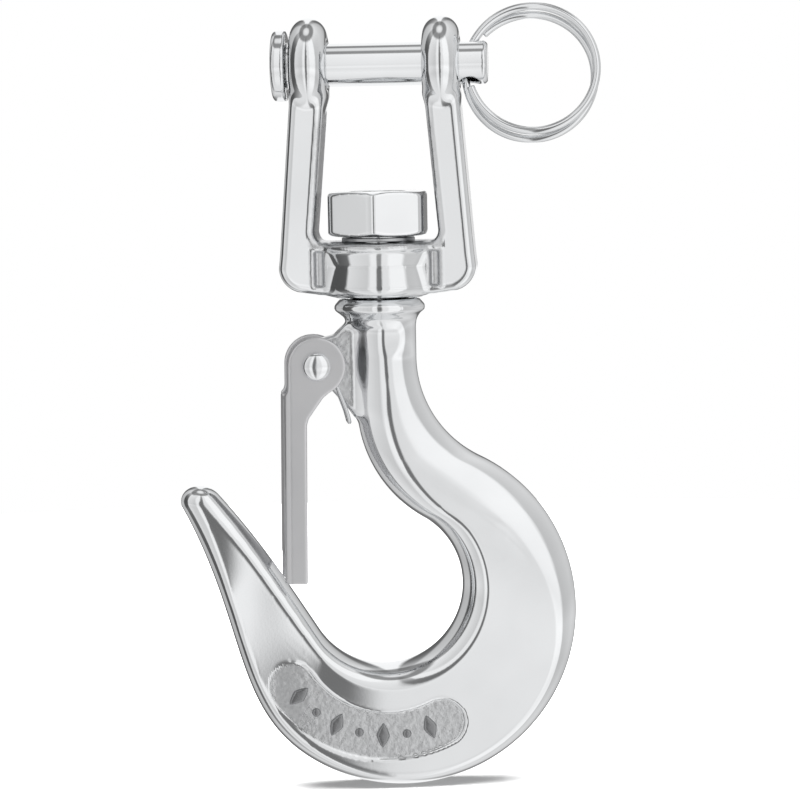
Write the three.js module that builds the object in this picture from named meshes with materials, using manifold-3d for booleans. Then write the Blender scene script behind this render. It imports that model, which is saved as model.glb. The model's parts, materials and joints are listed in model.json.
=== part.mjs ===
// Stainless swivel hook: a clevis jaw with its pin and split ring, a nut on the swivelling shank,
// and a hook with a sprung safety latch.
// Millimetres, +Z up. The origin is the centre of the clevis pin, the pin lies along X, the hook
// lies in the XZ plane, and the front of the hook faces -Y.
import * as THREE from 'three';
import { mergeVertices } from 'three/addons/utils/BufferGeometryUtils.js';
import Module from 'manifold-3d';

const wasm = await Module();
wasm.setup();

// ---- Driving dimensions ----

const GAP = 0.3; // Between pieces that touch or run on each other.

const PIN = {
  radius: 4, headRadius: 6.6, headLeft: -19.2, headRight: -16.4, headRound: 0.9,
  end: 20.9, chamfer: 0.5, holeX: 17.6, holeRadius: 1.85, holeTilt: THREE.MathUtils.degToRad(16),
};
const JAW = {
  earCentreX: 12.35, earHalfThickness: 3.5, earRadius: 8.8, halfDepth: 5.4, edge: 1.6,
  legTopZ: 0, legFootZ: -35, outerTopX: 15.2, outerFootX: 18, innerTopX: 8.75, innerFootX: 11.45,
  cornerX: 13.5, cornerZ: -37.2, cornerRadius: 4.8, rimX: 10.2, rimZ: -42.5, floorZ: -32.9, floorRound: 2.2,
};
const HUB = { topZ: -32.9, bottomZ: -42.9, topRadius: 11, bottomRadius: 8, edge: 0.9 };
const SHANK = { radius: 5, topZ: -23.6, chamfer: 0.6 };
const NUT = { acrossFlats: 17.8, topZ: -23.35, bottomZ: -31.7, cornerRadius: 10.08, turn: -10.6 };
const WASHER = { radius: 6.8, topZ: -31.95, bottomZ: -32.65 };
const COLLAR = { topZ: -43.2, topRadius: 7.6, midZ: -44.8, midRadius: 8.5, lowZ: -46.6, lowRadius: 7.1 };
const RIVET = { x: -12.35, z: -55.45, radius: 1.9, headRadius: 2.65, headHeight: 1.25 };
const LUG = { halfThickness: 2.2, radius: 4.5 };
const LATCH = {
  halfWidth: 5.6, sheet: 1.2, earRadius: 5.4, webX: -6.25, tongueX: -1.85, endZ: -40.5, bend: 1.5,
  webTopZ: -5.6, webEndZ: -35.6, notchHalfWidth: 4.3, lean: THREE.MathUtils.degToRad(0.8),
};
const SPRING = {
  wire: 0.75, coilRadius: 2.65, pitch: 0.8, turns: 1.5, coilY: 2.7, bightX: 6.3, bightZ: -10.7,
};
const RING = {
  wire: 1.5, meanRadius: 12.05, centreX: 28.8, centreY: -0.27, centreZ: -2, pitch: 1.56,
  start: 199, end: 854, driftX: -0.4, driftZ: -1.3, tilt: THREE.MathUtils.degToRad(10),
};
const PANEL = {
  x: 0, z: -103, radius: 21.9, halfWidth: 4.35, from: 213.5, to: 296, floorY: -5.4, markY: -5.85,
  marks: 7, markHeight: 2.3, markWidth: 1.25, dotRadius: 0.8,
};

// The blade's two edges seen from the front. Each runs down the neck line, round the throat's arc,
// which touches both the neck line and the bowl, round the bowl, and along one curve to the point.
// Angles are in degrees from +X, and leave and arrive are the curve's handle lengths.
const NECK = { topZ: -45.2, throatZ: -54 };
const INNER_EDGE = {
  neckX: -4.6, throatRadius: 25, bowlX: 0, bowlZ: -97.3, bowlRadius: 14.7, bowlFrom: 44, bowlTo: -147,
  leave: 9, tipX: -30.6, tipZ: -79.5, tipHeading: 131, arrive: 12,
};
const OUTER_EDGE = {
  neckX: 6.7, throatRadius: 21, bowlX: 3.4, bowlZ: -102.3, bowlRadius: 32.7, bowlFrom: 33, bowlTo: -122,
  leave: 18, tipX: -37.3, tipZ: -82.1, tipHeading: 117, arrive: 25,
};
// How finely each stretch of the blade is divided: neck, throat, bowl, point.
const STRETCH_SPANS = [3, 13, 20, 11];

// The blade's section at places along it: 0 to 1 is the neck, 1 to 2 the throat, 2 to 3 the bowl and
// 3 to 4 the point. Saddle and rim are how deep the inner and outer edges are rounded.
const SECTIONS = [
  { at: 0, half: 5.5, saddle: 5.6, rim: 5.6 },
  { at: 1, half: 5.4, saddle: 5.5, rim: 5.6 },
  { at: 1.3, half: 5.6, saddle: 6.2, rim: 9.4 },
  { at: 1.7, half: 6, saddle: 5.8, rim: 13.4 },
  { at: 2, half: 6.3, saddle: 5, rim: 10.5 },
  { at: 2.25, half: 6.4, saddle: 4.5, rim: 5 },
  { at: 2.5, half: 6.4, saddle: 4.6, rim: 3.2 },
  { at: 2.9, half: 6.3, saddle: 4.6, rim: 3 },
  { at: 3.3, half: 5.4, saddle: 4.2, rim: 3 },
  { at: 3.7, half: 4.4, saddle: 3.7, rim: 2.8 },
  { at: 4, half: 3.5, saddle: 3.3, rim: 3.3 },
];
const BLADE_TAPER = 0.1; // How much thinner the flat sides are at the outer rim, as a share.
const TAPER_RUN = 8; // The width of flat side that has all of that taper.
const TIP_ROUND = 3.6; // How far the rounded point runs past the last station.
const TIP_ANGLES = [25, 50, 72]; // Where the point's rounding has its rings, in degrees.
const CORNER_STEPS = 4; // Steps round each rounded edge of a blade section.
const LEAST_STEP = 0.001; // Keeps the two rounded edges' points apart where they meet.
const HOOK_TURN = THREE.MathUtils.degToRad(9.5); // The hook rests turned a little under the jaw.

const FINE = 40; // Sides of a large round face.
const SMALL = 20; // Sides of a small one.

// ---- Solids from three.js geometry ----

function toSolid(geometry) {
  const bare = geometry.index ? geometry.toNonIndexed() : geometry.clone();
  bare.deleteAttribute('normal');
  bare.deleteAttribute('uv');
  const merged = mergeVertices(bare, 1e-4);
  const vertProperties = new Float32Array(merged.attributes.position.array);
  const triVerts = new Uint32Array(merged.index.array);
  return new wasm.Manifold(new wasm.Mesh({ numProp: 3, vertProperties, triVerts }));
}

function toGeometry(solid) {
  const mesh = solid.getMesh();
  const geometry = new THREE.BufferGeometry();
  geometry.setAttribute('position', new THREE.BufferAttribute(new Float32Array(mesh.vertProperties), 3));
  geometry.setIndex(new THREE.BufferAttribute(new Uint32Array(mesh.triVerts), 1));
  geometry.computeVertexNormals();
  return geometry;
}

function shapeFrom(points) {
  return new THREE.Shape(points.map(([x, y]) => new THREE.Vector2(x, y)));
}

// An arc of points about a centre, from one angle to another, in degrees.
function arc(cx, cy, radius, from, to, steps) {
  const points = [];
  for (let i = 0; i <= steps; i += 1) {
    const angle = THREE.MathUtils.degToRad(from + ((to - from) * i) / steps);
    points.push([cx + radius * Math.cos(angle), cy + radius * Math.sin(angle)]);
  }
  return points;
}

// A closed profile of [radius, height] points turned about Z.
function turned(profile, sides) {
  return new THREE.LatheGeometry(profile.map(([r, h]) => new THREE.Vector2(r, h)), sides).rotateX(Math.PI / 2);
}

// The same profile turned about X, heights running along +X.
function turnedX(profile, sides) {
  return turned(profile, sides).rotateY(Math.PI / 2);
}

// An outline drawn in X and Z, extruded along Y from one depth to the other.
function plate(outline, fromY, toY, bevel = 0) {
  const settings = { depth: toY - fromY - 2 * bevel, bevelEnabled: bevel > 0, curveSegments: 6 };
  if (bevel > 0) {
    Object.assign(settings, { bevelThickness: bevel, bevelSize: bevel, bevelOffset: -bevel, bevelSegments: 3 });
  }
  const geometry = new THREE.ExtrudeGeometry(shapeFrom(outline), settings);
  return geometry.rotateX(Math.PI / 2).translate(0, toY - bevel, 0);
}

// A cylinder through a point along a direction, used for holes.
function drill(point, direction, radius, length, sides) {
  const geometry = new THREE.CylinderGeometry(radius, radius, length, sides);
  const turn = new THREE.Quaternion().setFromUnitVectors(new THREE.Vector3(0, 1, 0), direction);
  return toSolid(geometry.applyQuaternion(turn).translate(...point));
}

// A tube along a curve, with flat ends.
function tube(path, radius, sides, steps) {
  const section = shapeFrom(arc(0, 0, radius, 0, 360 - 360 / sides, sides - 1));
  return new THREE.ExtrudeGeometry(section, { steps, bevelEnabled: false, extrudePath: path });
}

class PathCurve extends THREE.Curve {
  constructor(place) {
    super();
    this.place = place;
  }

  getPoint(t, target = new THREE.Vector3()) {
    return target.copy(this.place(t));
  }
}

// ---- Clevis jaw ----

function earProfile() {
  const rim = JAW.earHalfThickness;
  const inner = PIN.radius + GAP;
  return [
    [inner, -rim],
    ...arc(JAW.earRadius - rim, 0, rim, -90, 90, 12),
    [inner, rim],
    [inner, -rim],
  ];
}

// The U of both legs and the cross bar under them, mirrored about X = 0.
function jawOutline() {
  const right = [
    [0, JAW.rimZ],
    [JAW.rimX, JAW.rimZ],
    ...arc(JAW.cornerX, JAW.cornerZ, JAW.cornerRadius, -80, -4, 5),
    [JAW.outerFootX, JAW.legFootZ],
    [JAW.outerTopX, JAW.legTopZ],
    [JAW.innerTopX, JAW.legTopZ],
    ...arc(JAW.innerFootX - JAW.floorRound, JAW.floorZ + JAW.floorRound, JAW.floorRound, 0, -90, 4),
  ];
  const left = right.slice(1).reverse().map(([x, z]) => [-x, z]);
  return [...right, ...left];
}

function hubProfile() {
  return [
    [0, HUB.bottomZ],
    [HUB.bottomRadius, HUB.bottomZ],
    ...arc(HUB.bottomRadius, HUB.bottomZ + 2.2, 2.2, -80, 0, 4),
    [HUB.topRadius, HUB.topZ - HUB.edge],
    [HUB.topRadius - 0.25 * HUB.edge, HUB.topZ - 0.25 * HUB.edge],
    [HUB.topRadius - HUB.edge, HUB.topZ],
    [0, HUB.topZ],
  ];
}

function clevisJaw() {
  const along = new THREE.Vector3(1, 0, 0);
  const up = new THREE.Vector3(0, 0, 1);
  let solid = toSolid(plate(jawOutline(), -JAW.halfDepth, JAW.halfDepth, JAW.edge));
  solid = solid.add(toSolid(turned(hubProfile(), FINE)));
  for (const side of [-1, 1]) {
    solid = solid.add(toSolid(turnedX(earProfile(), 32).translate(side * JAW.earCentreX, 0, 0)));
  }
  solid = solid.subtract(drill([0, 0, 0], along, PIN.radius + GAP, 50, 32));
  return solid.subtract(drill([0, 0, HUB.topZ], up, SHANK.radius + GAP, 40, 32));
}

// ---- Clevis pin and split ring ----

// The direction of the ring's hole through the pin, which leans back at the top.
function holeDirection() {
  return new THREE.Vector3(0, Math.sin(PIN.holeTilt), Math.cos(PIN.holeTilt));
}

function clevisPin() {
  const head = PIN.headRadius - PIN.headRound;
  const profile = [
    [0, PIN.headLeft],
    [head, PIN.headLeft + 0.15],
    ...arc(head, PIN.headLeft + 0.15 + PIN.headRound, PIN.headRound, -60, 0, 2),
    [PIN.headRadius, PIN.headRight - 0.4],
    [PIN.headRadius - 0.4, PIN.headRight],
    [PIN.radius, PIN.headRight],
    [PIN.radius, PIN.end - PIN.chamfer],
    [PIN.radius - PIN.chamfer, PIN.end],
    [0, PIN.end],
  ];
  const hole = drill([PIN.holeX, 0, 0], holeDirection(), PIN.holeRadius, 20, SMALL);
  return toSolid(turnedX(profile, 32)).subtract(hole);
}

// A point of the ring's wire: two turns that climb by the wire's width and drift a little.
function ringPoint(t) {
  const degrees = THREE.MathUtils.lerp(RING.start, RING.end, t);
  const turns = (degrees - 530) / 360;
  const angle = THREE.MathUtils.degToRad(degrees);
  const x = RING.meanRadius * Math.cos(angle) + RING.driftX * turns;
  const up = RING.meanRadius * Math.sin(angle) + RING.driftZ * turns;
  const point = new THREE.Vector3(x, RING.pitch * turns, up);
  point.applyAxisAngle(new THREE.Vector3(1, 0, 0), -RING.tilt);
  return point.add(new THREE.Vector3(RING.centreX, RING.centreY, RING.centreZ));
}

function splitRing() {
  return toSolid(tube(new PathCurve(ringPoint), RING.wire / 2, 8, 84));
}

// ---- Nut and washer ----

function shankNut() {
  const half = NUT.acrossFlats / 2;
  const corners = [];
  for (let i = 0; i < 6; i += 1) {
    const angle = THREE.MathUtils.degToRad(60 * i - 90 + NUT.turn);
    const radius = half / Math.cos(Math.PI / 6);
    corners.push([radius * Math.cos(angle), radius * Math.sin(angle)]);
  }
  const height = NUT.topZ - NUT.bottomZ;
  const hexagon = new THREE.ExtrudeGeometry(shapeFrom(corners), { depth: height, bevelEnabled: false });
  const bore = SHANK.radius + GAP;
  const chamfered = [
    [bore, NUT.bottomZ],
    [half - 0.1, NUT.bottomZ],
    [NUT.cornerRadius, NUT.bottomZ + 0.8],
    [NUT.cornerRadius, NUT.topZ - 0.8],
    [half - 0.1, NUT.topZ],
    [bore, NUT.topZ],
    [bore, NUT.bottomZ],
  ];
  return toSolid(hexagon.translate(0, 0, NUT.bottomZ)).intersect(toSolid(turned(chamfered, FINE)));
}

function thrustWasher() {
  const bore = SHANK.radius + GAP;
  const profile = [
    [bore, WASHER.bottomZ],
    [WASHER.radius, WASHER.bottomZ],
    [WASHER.radius, WASHER.topZ],
    [bore, WASHER.topZ],
    [bore, WASHER.bottomZ],
  ];
  return toSolid(turned(profile, FINE));
}

// ---- Hook body ----

// The throat's arc and its short run onto the bowl, which it meets without a corner.
function throatCurve(edge) {
  const centreX = edge.neckX + edge.throatRadius;
  const across = centreX - edge.bowlX;
  const rise = Math.sqrt((edge.throatRadius + edge.bowlRadius) ** 2 - across ** 2);
  const centreZ = edge.bowlZ + rise;
  const touch = Math.atan2(rise, across);
  const top = new THREE.Vector2(edge.neckX, NECK.throatZ);
  const radius = edge.throatRadius;
  const path = new THREE.CurvePath();
  path.add(new THREE.LineCurve(top, new THREE.Vector2(edge.neckX, centreZ)));
  path.add(new THREE.EllipseCurve(centreX, centreZ, radius, radius, Math.PI, Math.PI + touch));
  path.add(bowlCurve(edge, touch, THREE.MathUtils.degToRad(edge.bowlFrom)));
  return path;
}

function bowlCurve(edge, from, to) {
  const radius = edge.bowlRadius;
  return new THREE.EllipseCurve(edge.bowlX, edge.bowlZ, radius, radius, from, to, true);
}

// The curve from the end of the bowl to the point.
function pointCurve(edge) {
  const end = THREE.MathUtils.degToRad(edge.bowlTo);
  const heading = THREE.MathUtils.degToRad(edge.tipHeading);
  const away = new THREE.Vector2(Math.sin(end), -Math.cos(end));
  const ahead = new THREE.Vector2(Math.cos(heading), Math.sin(heading));
  const start = new THREE.Vector2(Math.cos(end), Math.sin(end)).multiplyScalar(edge.bowlRadius);
  start.add(new THREE.Vector2(edge.bowlX, edge.bowlZ));
  const tip = new THREE.Vector2(edge.tipX, edge.tipZ);
  const first = start.clone().addScaledVector(away, edge.leave);
  const second = tip.clone().addScaledVector(ahead, -edge.arrive);
  return new THREE.CubicBezierCurve(start, first, second, tip);
}

// One edge of the blade as its four stretches.
function edgeCurves(edge) {
  const top = new THREE.Vector2(edge.neckX, NECK.topZ);
  const from = THREE.MathUtils.degToRad(edge.bowlFrom);
  const to = THREE.MathUtils.degToRad(edge.bowlTo);
  return [
    new THREE.LineCurve(top, new THREE.Vector2(edge.neckX, NECK.throatZ)),
    throatCurve(edge),
    bowlCurve(edge, from, to),
    pointCurve(edge),
  ];
}

// The section's sizes at a place along the blade.
function sectionAt(place) {
  const next = Math.max(1, SECTIONS.findIndex((section) => section.at >= place));
  const before = SECTIONS[next - 1];
  const after = SECTIONS[next];
  const share = (place - before.at) / (after.at - before.at);
  const blend = (key) => THREE.MathUtils.lerp(before[key], after[key], share);
  return { half: blend('half'), saddleDepth: blend('saddle'), rimDepth: blend('rim') };
}

// Half of a blade section as [distance from the inner edge, half thickness] pairs.
function bladeProfile(width, size) {
  const { half, saddleDepth, rimDepth } = size;
  const saddle = Math.min(saddleDepth, width / 2);
  const rim = Math.min(rimDepth, width - saddle);
  const flatness = THREE.MathUtils.smoothstep(width - saddle - rim, 0, TAPER_RUN);
  const outerHalf = half * (1 - BLADE_TAPER * flatness);
  const points = [];
  const step = Math.PI / 2 / CORNER_STEPS;
  for (let i = 0; i <= CORNER_STEPS; i += 1) {
    points.push([saddle * (1 - Math.cos(step * i)), half * Math.sin(step * i)]);
  }
  for (let i = 0; i <= CORNER_STEPS; i += 1) {
    const apart = LEAST_STEP * (CORNER_STEPS - i);
    points.push([width - rim + rim * Math.sin(step * i) + apart, outerHalf * Math.cos(step * i)]);
  }
  return points;
}

function bladeRing(inner, outer, size) {
  const across = outer.clone().sub(inner);
  const width = across.length();
  across.normalize();
  const half = bladeProfile(width, size);
  const back = half.slice(1, -1).reverse().map(([u, y]) => [u, -y]);
  return [...half, ...back].map(([u, y]) => inner.clone().addScaledVector(across, u).setY(y));
}

function bladeRings() {
  const inner = edgeCurves(INNER_EDGE);
  const outer = edgeCurves(OUTER_EDGE);
  const placed = (curve, share) => {
    const point = curve.getPointAt(share);
    return new THREE.Vector3(point.x, 0, point.y);
  };
  const rings = [bladeRing(placed(inner[0], 0), placed(outer[0], 0), sectionAt(0))];
  STRETCH_SPANS.forEach((spans, stretch) => {
    for (let i = 1; i <= spans; i += 1) {
      const share = i / spans;
      const ends = [placed(inner[stretch], share), placed(outer[stretch], share)];
      rings.push(bladeRing(...ends, sectionAt(stretch + share)));
    }
  });
  const end = rings[rings.length - 1];
  const last = STRETCH_SPANS.length - 1;
  const from = placed(inner[last], 1).add(placed(outer[last], 1)).multiplyScalar(0.5);
  const heading = THREE.MathUtils.degToRad((INNER_EDGE.tipHeading + OUTER_EDGE.tipHeading) / 2);
  const ahead = new THREE.Vector3(Math.cos(heading), 0, Math.sin(heading));
  for (const angle of TIP_ANGLES) {
    const radians = THREE.MathUtils.degToRad(angle);
    const centre = from.clone().addScaledVector(ahead, TIP_ROUND * Math.sin(radians));
    rings.push(end.map((p) => p.clone().sub(from).multiplyScalar(Math.cos(radians)).add(centre)));
  }
  return rings;
}

// A closed skin over a run of rings with the same number of points.
function skin(rings) {
  const count = rings[0].length;
  const positions = rings.flat().flatMap((p) => p.toArray());
  const index = [];
  for (let r = 0; r < rings.length - 1; r += 1) {
    for (let i = 0; i < count; i += 1) {
      const a = r * count + i;
      const b = r * count + ((i + 1) % count);
      index.push(a, b, a + count, b, b + count, a + count);
    }
  }
  [0, rings.length - 1].forEach((r, last) => {
    const centre = rings[r].reduce((sum, p) => sum.add(p), new THREE.Vector3()).divideScalar(count);
    const middle = positions.length / 3;
    positions.push(...centre.toArray());
    for (let i = 0; i < count; i += 1) {
      const a = r * count + i;
      const b = r * count + ((i + 1) % count);
      index.push(...(last ? [middle, a, b] : [middle, b, a]));
    }
  });
  const geometry = new THREE.BufferGeometry();
  geometry.setAttribute('position', new THREE.BufferAttribute(new Float32Array(positions), 3));
  geometry.setIndex(index);
  return geometry;
}

function shankProfile() {
  return [
    [0, COLLAR.lowZ - 0.6],
    [COLLAR.lowRadius - 1, COLLAR.lowZ - 0.6],
    [COLLAR.lowRadius, COLLAR.lowZ],
    [COLLAR.midRadius, COLLAR.midZ - 0.5],
    [COLLAR.midRadius, COLLAR.midZ + 0.3],
    [COLLAR.topRadius, COLLAR.topZ],
    [SHANK.radius, COLLAR.topZ],
    [SHANK.radius, SHANK.topZ - SHANK.chamfer],
    [SHANK.radius - SHANK.chamfer, SHANK.topZ],
    [0, SHANK.topZ],
  ];
}

// The lug that carries the latch's rivet, from the collar down to the neck.
function lugOutline() {
  return [
    [0, -47.6],
    [-6.9, -48.2],
    [-8.6, -49.9],
    ...arc(RIVET.x, RIVET.z, LUG.radius, 115, 300, 12),
    [-5.2, -65.1],
    [0, -66.5],
  ];
}

// The recessed panel on the front of the blade: a slot bent along an arc, with round ends.
function panelOutline() {
  const { x, z, radius, halfWidth, from, to } = PANEL;
  const endOf = (degrees) => arc(x, z, radius, degrees, degrees, 1)[0];
  const [startX, startZ] = endOf(from);
  const [finishX, finishZ] = endOf(to);
  return [
    ...arc(x, z, radius + halfWidth, from, to, 12),
    ...arc(finishX, finishZ, halfWidth, to, to + 180, 8).slice(1, -1),
    ...arc(x, z, radius - halfWidth, to, from, 12),
    ...arc(startX, startZ, halfWidth, from + 180, from + 360, 8).slice(1, -1),
  ];
}

// Plain raised marks along the panel: lozenges with dots between them.
function panelMark(i) {
  const span = PANEL.to - PANEL.from;
  const degrees = PANEL.from + (span * (i + 0.5)) / PANEL.marks;
  const [x, z] = arc(PANEL.x, PANEL.z, PANEL.radius, degrees, degrees, 1)[0];
  const outline = i % 2
    ? arc(x, z, PANEL.dotRadius, 0, 330, 11)
    : [0, 90, 180, 270].map((turn) => {
      const reach = turn % 180 ? PANEL.markWidth : PANEL.markHeight;
      return arc(x, z, reach, degrees + turn, degrees + turn, 1)[0];
    });
  return toSolid(plate(outline, PANEL.markY, PANEL.floorY + 1));
}

function hookBody() {
  const across = new THREE.Vector3(0, 1, 0);
  let solid = toSolid(skin(bladeRings()));
  solid = solid.add(toSolid(turned(shankProfile(), FINE)));
  solid = solid.add(toSolid(plate(lugOutline(), -LUG.halfThickness, LUG.halfThickness)));
  solid = solid.subtract(drill([RIVET.x, 0, RIVET.z], across, RIVET.radius + GAP, 20, SMALL));
  solid = solid.subtract(toSolid(plate(panelOutline(), -9, PANEL.floorY)));
  for (let i = 0; i < PANEL.marks; i += 1) {
    solid = solid.add(panelMark(i));
  }
  return solid;
}

// ---- Latch, rivet and spring, drawn about the rivet with the tongue pointing down ----

function latchOutline() {
  return [
    ...arc(0, 0, LATCH.earRadius, -64, 180, 20),
    [-LATCH.earRadius, -4.1],
    [-5.6, -4.8],
    [LATCH.webX, -5.3],
    [LATCH.webX, LATCH.endZ],
    [LATCH.tongueX, LATCH.endZ],
    [LATCH.tongueX, -10.9],
    [-1.5, -9.7],
    [-0.2, -7.8],
    [1.2, -5.8],
  ];
}

// The channel section in X and Y: a web on the outside and a flange to each side.
function channelOutline() {
  const { halfWidth, sheet, webX, bend } = LATCH;
  const open = 7;
  const outer = [
    [open, -halfWidth],
    [open, -halfWidth + sheet],
    ...arc(webX + bend, -halfWidth + bend, bend - sheet, 270, 180, 2),
  ];
  const bentBack = arc(webX + bend, -halfWidth + bend, bend, 180, 270, 4);
  const mirrored = outer.map(([x, y]) => [x, -y]).reverse();
  const bentFront = bentBack.map(([x, y]) => [x, -y]).reverse();
  return [...outer, ...mirrored, ...bentFront, ...bentBack];
}

function latchChannel() {
  const outline = shapeFrom(channelOutline());
  const geometry = new THREE.ExtrudeGeometry(outline, { depth: 60, bevelEnabled: false });
  return toSolid(geometry.translate(0, 0, -50));
}

function placedAtRivet(solid) {
  return toSolid(toGeometry(solid).rotateY(LATCH.lean).translate(RIVET.x, 0, RIVET.z));
}

function safetyLatch() {
  const box = (width, depth, height, x, z) => toSolid(
    new THREE.BoxGeometry(width, depth, height).translate(x, 0, z),
  );
  const inside = 2 * (LATCH.halfWidth - LATCH.sheet);
  let solid = latchChannel().intersect(toSolid(plate(latchOutline(), -8, 8)));
  solid = solid.subtract(box(12, inside, 20, LATCH.webX + 3, LATCH.webTopZ + 10));
  solid = solid.subtract(box(4, 2 * LATCH.notchHalfWidth, 10, LATCH.webX, LATCH.webEndZ - 5));
  const rivetHole = drill([0, 0, 0], new THREE.Vector3(0, 1, 0), RIVET.radius + GAP, 20, SMALL);
  return placedAtRivet(solid.subtract(rivetHole));
}

function latchRivet() {
  const reach = LATCH.halfWidth + 0.2;
  const crown = (side) => [15, 40, 65].map((degrees) => {
    const angle = THREE.MathUtils.degToRad(degrees);
    return [RIVET.headRadius * Math.cos(angle), side * (reach + RIVET.headHeight * Math.sin(angle))];
  });
  const profile = [
    [0, -reach - RIVET.headHeight],
    ...crown(-1).reverse(),
    [RIVET.headRadius, -reach],
    [RIVET.radius, -reach],
    [RIVET.radius, reach],
    [RIVET.headRadius, reach],
    ...crown(1),
    [0, reach + RIVET.headHeight],
  ];
  return toSolid(turned(profile, 24).rotateX(Math.PI / 2).translate(RIVET.x, 0, RIVET.z));
}

// The spring's wire on the front side, from the end on the latch's web, round its coil and down
// to the bight on the hook's neck. The back side is its mirror image.
function springSide() {
  const { coilRadius, coilY, pitch, turns, bightX, bightZ } = SPRING;
  const webInside = LATCH.webX + LATCH.sheet + SPRING.wire / 2 + 0.35;
  const points = [
    new THREE.Vector3(webInside, -coilY - turns * pitch, -15),
    new THREE.Vector3(webInside + 0.6, -coilY - turns * pitch, -9),
    new THREE.Vector3(-coilRadius - 0.7, -coilY - turns * pitch, -3),
  ];
  const steps = 12 * turns;
  for (let i = 0; i <= steps; i += 1) {
    const angle = Math.PI - (i / 12) * 2 * Math.PI;
    const y = -coilY - turns * pitch * (1 - i / steps);
    points.push(new THREE.Vector3(coilRadius * Math.cos(angle), y, coilRadius * Math.sin(angle)));
  }
  points.push(new THREE.Vector3(coilRadius + 0.9, -coilY - 0.05, -3));
  points.push(new THREE.Vector3(bightX - 0.55, -coilY - 0.1, bightZ + 2));
  points.push(new THREE.Vector3(bightX - 0.1, -coilY + 0.25, bightZ + 0.35));
  points.push(new THREE.Vector3(bightX, -coilY + 0.9, bightZ));
  return points;
}

function latchSpring() {
  const front = springSide();
  const back = front.map((p) => new THREE.Vector3(p.x, -p.y, p.z)).reverse();
  const path = new THREE.CatmullRomCurve3([...front, ...back], false, 'centripetal');
  return placedAtRivet(toSolid(tube(path, SPRING.wire / 2, 6, 150)));
}

// ---- Assembly ----

function steel(color, roughness) {
  return new THREE.MeshStandardMaterial({ color, roughness, metalness: 1 });
}

const polished = steel(0xd4d6d8, 0.12);
const satin = steel(0xb4b6b8, 0.35);
const wire = steel(0xc4c6c9, 0.2);

// What stays with the jaw, and what swivels under it.
const JAW_PIECES = [
  ['clevis_jaw', clevisJaw(), polished],
  ['clevis_pin', clevisPin(), polished],
  ['split_ring', splitRing(), wire],
];
const HOOK_PIECES = [
  ['shank_nut', shankNut(), polished],
  ['thrust_washer', thrustWasher(), satin],
  ['hook_body', hookBody(), polished],
  ['safety_latch', safetyLatch(), satin],
  ['latch_rivet', latchRivet(), polished],
  ['latch_spring', latchSpring(), wire],
];

function addPieces(group, pieces, turn) {
  for (const [name, solid, material] of pieces) {
    const mesh = new THREE.Mesh(toGeometry(solid).rotateZ(turn), material);
    mesh.name = name;
    group.add(mesh);
  }
}

const swivelHook = new THREE.Group();
addPieces(swivelHook, JAW_PIECES, 0);
addPieces(swivelHook, HOOK_PIECES, HOOK_TURN);

export default swivelHook;
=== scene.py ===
"""Looks for the stainless swivel hook: fine surfaces, metal finishes, studio light and camera.

Shapes are worked out in millimetres. The jaw, its pin and its ring are drawn in the shared frame.
The hook and the pieces that turn with it are drawn unturned, and then turned about the swivel axis
to where the hook rests.
"""

import json
import math

import bpy
import numpy as np
import openvdb
from mathutils import Matrix, Vector


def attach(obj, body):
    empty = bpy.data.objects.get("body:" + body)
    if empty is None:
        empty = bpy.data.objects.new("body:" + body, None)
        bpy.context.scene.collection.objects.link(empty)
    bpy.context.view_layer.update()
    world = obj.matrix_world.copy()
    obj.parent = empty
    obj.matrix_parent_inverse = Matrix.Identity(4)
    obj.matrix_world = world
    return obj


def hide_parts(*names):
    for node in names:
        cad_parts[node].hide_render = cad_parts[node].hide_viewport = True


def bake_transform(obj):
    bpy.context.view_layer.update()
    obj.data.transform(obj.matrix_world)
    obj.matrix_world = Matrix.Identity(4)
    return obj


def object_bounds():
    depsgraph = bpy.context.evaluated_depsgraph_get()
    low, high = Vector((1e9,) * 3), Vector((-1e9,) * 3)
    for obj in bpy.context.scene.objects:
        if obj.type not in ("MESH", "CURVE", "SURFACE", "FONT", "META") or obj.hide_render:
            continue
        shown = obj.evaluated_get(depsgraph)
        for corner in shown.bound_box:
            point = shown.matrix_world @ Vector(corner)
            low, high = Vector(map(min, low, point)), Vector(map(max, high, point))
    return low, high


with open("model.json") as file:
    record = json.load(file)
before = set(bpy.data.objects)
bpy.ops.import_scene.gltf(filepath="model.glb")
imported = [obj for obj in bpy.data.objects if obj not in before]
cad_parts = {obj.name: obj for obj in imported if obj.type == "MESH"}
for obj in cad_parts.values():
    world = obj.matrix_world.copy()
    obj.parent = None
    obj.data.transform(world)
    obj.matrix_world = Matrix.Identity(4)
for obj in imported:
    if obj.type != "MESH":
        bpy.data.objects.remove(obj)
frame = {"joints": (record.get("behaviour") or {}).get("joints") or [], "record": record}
CAD_LOW, CAD_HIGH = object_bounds()

# ---- Driving dimensions, in millimetres ----

MM = 0.001
JOINTS = {joint["name"]: joint for joint in frame["joints"]}
LATCH_AXIS = JOINTS["latch_pivot"]["axis"]
LATCH_PLACE = JOINTS["latch_pivot"]["pos_m"]
HOOK_TURN = math.atan2(LATCH_AXIS[0], -LATCH_AXIS[1])
RIVET_X = -math.hypot(LATCH_PLACE[0], LATCH_PLACE[1]) / MM
RIVET_Z = LATCH_PLACE[2] / MM

PIN_RADIUS, PIN_HEAD_RADIUS = 4.0, 6.6
PIN_LEFT, PIN_SHOULDER, PIN_END = -19.2, -16.4, 20.9
PIN_CROWN_RADIUS, PIN_CROWN, PIN_HEAD_ROUND, PIN_SHOULDER_ROUND = 4.2, 0.18, 0.9, 0.5
PIN_CHAMFER_RUN, PIN_CHAMFER_RISE = 0.55, 0.5
PIN_HOLE_X, PIN_HOLE_RADIUS, PIN_HOLE_TILT = 17.6, 1.85, math.radians(16)

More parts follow.
